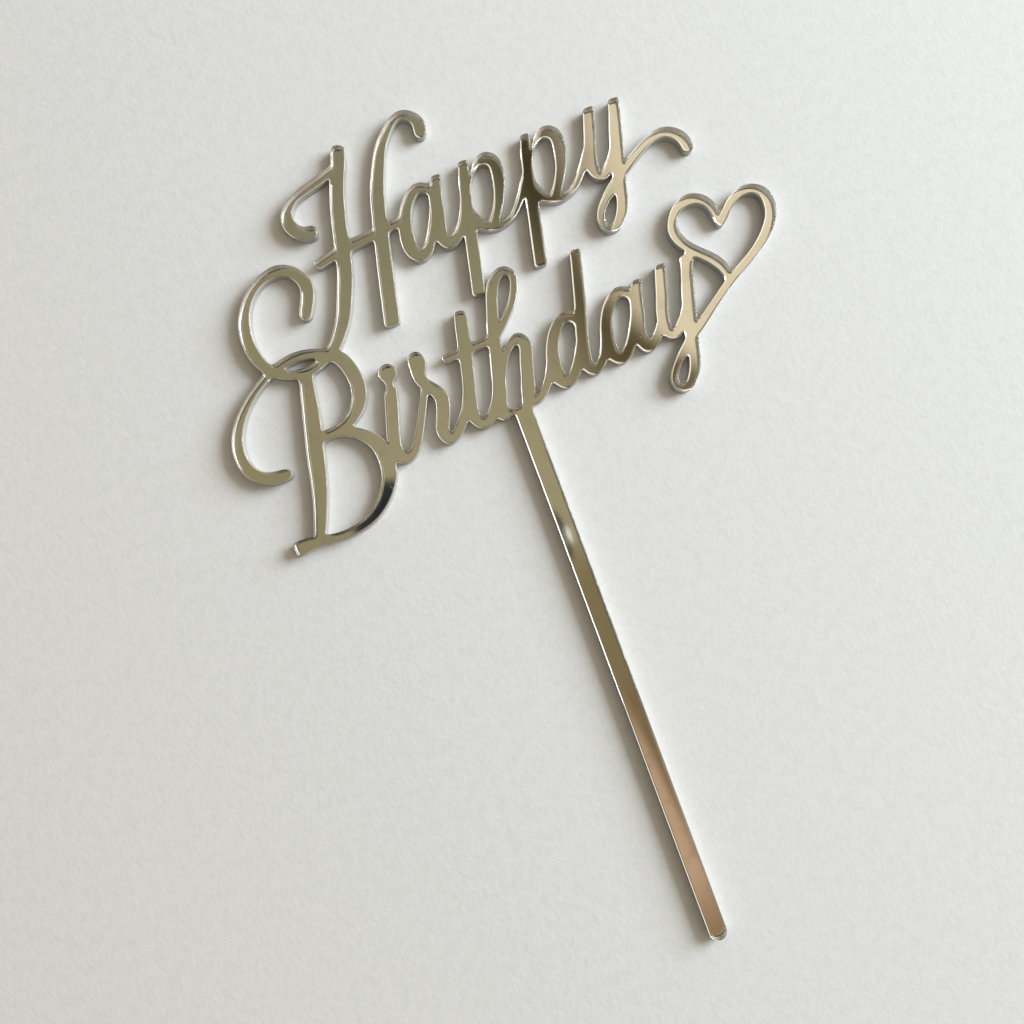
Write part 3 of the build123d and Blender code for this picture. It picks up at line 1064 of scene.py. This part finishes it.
def hang_lamp(stage):
    """Large soft lamp at the right, turned to the middle of the picture."""
    data = bpy.data.lights.new("soft lamp", "AREA")
    data.shape = "RECTANGLE"
    data.size = stage.lamp_width
    data.size_y = stage.lamp_tall
    data.energy = stage.lamp_power
    data.color = stage.lamp_colour
    lamp = bpy.data.objects.new("soft lamp", data)
    level = stage.lamp_distance * math.cos(stage.lamp_rise)
    way = Vector(
        (
            level * math.cos(stage.lamp_heading),
            level * math.sin(stage.lamp_heading),
            stage.lamp_distance * math.sin(stage.lamp_rise),
        )
    )
    lamp.location = Vector(stage.aim) + way
    lamp.rotation_euler = way.to_track_quat("Z", "Y").to_euler()
    bpy.context.scene.collection.objects.link(lamp)


def turned(tree, across, along, across_share, along_share, at=(0, 0)):
    """Sum of the two directions, each times its share."""
    first = math_node(tree, "MULTIPLY", across, across_share, at=at)
    return math_node(tree, "MULTIPLY_ADD", along, along_share, first, at=(at[0] + 150, at[1]))


def soft_spot(tree, across, along, middle, half, at=(0, 0)):
    """Mask of a soft oval patch about a direction."""
    far = []
    for value, centre, reach in zip((across, along), middle, half):
        away = math_node(tree, "SUBTRACT", value, centre, at=at)
        away = math_node(tree, "DIVIDE", away, reach, at=(at[0] + 150, at[1]))
        far.append(math_node(tree, "MULTIPLY", away, away, at=(at[0] + 300, at[1])))
    total = math_node(tree, "ADD", *far, at=(at[0] + 450, at[1]))
    return soft_step(tree, total, *spot_span, at=(at[0] + 600, at[1]))


def room_tones(tree, room):
    """Colours of the room overhead by direction, for the mirror to show: olive grey above the
    writing, browns and a warm light along the stick, a dark strip and a cream window to the
    right, daylight past it, a pale far side at the left and a dark flag near the middle. The
    node that splits the direction comes with them."""
    coords = add(tree, "ShaderNodeTexCoord", (-2900, 0))
    parts = add(tree, "ShaderNodeSeparateXYZ", (-2700, 0))
    wire(tree, coords.outputs["Generated"], parts.inputs[0])
    rise = math_node(tree, "MAXIMUM", parts.outputs["Z"], least_rise, at=(-2500, -200))
    across = math_node(tree, "DIVIDE", parts.outputs["X"], rise, at=(-2300, 100))
    along = math_node(tree, "DIVIDE", parts.outputs["Y"], rise, at=(-2300, -100))
    names = {**room_spans, **room_slants, **room_spots}
    rows = {name: -180 * place for place, name in enumerate(names)}

    def slant(name):
        return turned(tree, across, along, *room_slants[name], at=(-2000, rows[name]))

    def mask(name, value):
        return soft_step(tree, value, *room_spans[name], at=(-1600, rows[name]))

    def both(name, first, second):
        return math_node(tree, "MULTIPLY", first, second, at=(-1400, rows[name]))

    def spot(name):
        return soft_spot(tree, across, along, *room_spots[name], at=(-2000, rows[name]))

    warm = both("warm", mask("warm", along), mask("warm_side", slant("warm_side")))
    dark = both("strip", mask("strip", slant("strip")), mask("upper", along))
    depth = blend_colours(
        tree, mask("deep", along), room.strip_colour, room.strip_deep_colour, (-1400, rows["deep"])
    )
    window = both("sill", mask("open_side", slant("open_side")), mask("sill", slant("sill")))
    flag_across = slant("flag_across")
    flag = both("flag_top", mask("flag_top", slant("flag_up")), mask("flag_left", flag_across))
    flag = both("flag_right", flag, mask("flag_right", flag_across))
    flag = math_node(tree, "MAXIMUM", flag, spot("streak"), at=(-1200, rows["flag_right"]))
    layers = (
        (mask("near", along), room.near_colour),
        (mask("left", across), room.left_colour),
        (mask("below", along), room.below_colour),
        (mask("ruddy", along), room.ruddy_colour),
        (warm, room.warm_colour),
        (mask("edge", along), room.edge_colour),
        (dark, depth),
        (window, room.window_colour),
        (mask("bright", across), room.bright_colour),
        (mask("far_side", across), room.far_side_colour),
        (flag, room.flag_colour),
        (spot("glint"), room.glint_colour),
    )
    tone = room.overhead_colour
    for place, (share, colour) in enumerate(layers):
        tone = blend_colours(tree, share, tone, colour, (-1100 + 80 * place, -100 * place))
    return tone, parts


def light_room(stage, room):
    """World: a pale light, softer on the side away from the lamp, with the room's tones shown to
    mirror and clear surfaces."""
    world = bpy.data.worlds.new("soft room")
    world.use_nodes = True
    bpy.context.scene.world = world
    tree = world.node_tree
    sky = tree.nodes["Background"]
    paths = add(tree, "ShaderNodeLightPath", (-600, 500))
    shown = math_node(
        tree,
        "MAXIMUM",
        paths.outputs["Is Glossy Ray"],
        paths.outputs["Is Transmission Ray"],
        at=(-400, 400),
    )
    tones, ways = room_tones(tree, room)
    towards = turned(
        tree,
        ways.outputs["X"],
        ways.outputs["Y"],
        math.cos(stage.lamp_heading),
        math.sin(stage.lamp_heading),
        (-1300, 600),
    )
    fill = blend_colours(
        tree,
        soft_step(tree, towards, *fill_span, at=(-900, 600)),
        shaded(stage.fill_colour, fill_away_share),
        shaded(stage.fill_colour, fill_towards_share),
        (-700, 600),
    )
    even = blend_colours(
        tree, paths.outputs["Is Camera Ray"], fill, stage.backdrop_colour, (-300, 300)
    )
    wire(tree, blend_colours(tree, shown, even, tones, (-100, 200)), sky.inputs["Color"])


def set_camera(stage):
    """Camera above the topper, turned and tilted as in the picture."""
    data = bpy.data.cameras.new("camera")
    data.sensor_width = sensor_width
    data.lens = sensor_width / 2.0 / math.tan(stage.camera_view / 2.0)
    data.clip_start = 0.01
    data.clip_end = 20.0
    camera = bpy.data.objects.new("camera", data)
    turn = Euler((stage.camera_tilt, 0.0, stage.camera_turn)).to_matrix()
    back = turn @ Vector((0.0, 0.0, 1.0))
    place = Vector(stage.aim) + back * stage.camera_distance
    camera.matrix_world = Matrix.Translation(place) @ turn.to_4x4()
    bpy.context.scene.collection.objects.link(camera)
    bpy.context.scene.camera = camera


class TOPPER_OT_stage(bpy.types.Operator):
    """Lay the paper, hang the lamp, light the room and set the camera"""

    bl_idname = "topper.stage"
    bl_label = "Paper, light and camera"

    def execute(self, context):
        stage = context.scene.topper_stage
        lay_paper(stage)
        hang_lamp(stage)
        light_room(stage, context.scene.topper_room)
        set_camera(stage)
        context.scene.view_settings.view_transform = "Standard"
        return {"FINISHED"}


class TOPPER_PT_panel(bpy.types.Panel):
    """Sidebar panel with the topper's pieces and settings"""

    bl_idname = "TOPPER_PT_panel"
    bl_label = "Cake topper"
    bl_space_type = "VIEW_3D"
    bl_region_type = "UI"
    bl_category = "Topper"

    def draw(self, context):
        layout = self.layout
        for operator in operators:
            layout.operator(operator.bl_idname)
        for holder in groups_of_settings:
            settings = getattr(context.scene, holder)
            box = layout.box()
            for name in settings.__annotations__:
                box.prop(settings, name)


groups_of_settings = {
    "topper_sizes": TopperSizes,
    "topper_finishes": TopperFinishes,
    "topper_stage": TopperStage,
    "topper_room": TopperRoom,
}
operators = (
    TOPPER_OT_acrylic_sheet,
    TOPPER_OT_mirror_film,
    TOPPER_OT_backing_coat,
    TOPPER_OT_stage,
)


def register():
    for name, settings in groups_of_settings.items():
        bpy.utils.register_class(settings)
        setattr(bpy.types.Scene, name, bpy.props.PointerProperty(type=settings))
    for operator in operators:
        bpy.utils.register_class(operator)
    bpy.utils.register_class(TOPPER_PT_panel)


def unregister():
    bpy.utils.unregister_class(TOPPER_PT_panel)
    for operator in reversed(operators):
        bpy.utils.unregister_class(operator)
    for name, settings in groups_of_settings.items():
        delattr(bpy.types.Scene, name)
        bpy.utils.unregister_class(settings)


def main():
    register()
    bpy.ops.topper.acrylic_sheet()
    bpy.ops.topper.mirror_film()
    bpy.ops.topper.backing_coat()
    bpy.ops.topper.stage()


if __name__ == "__main__":
    main()
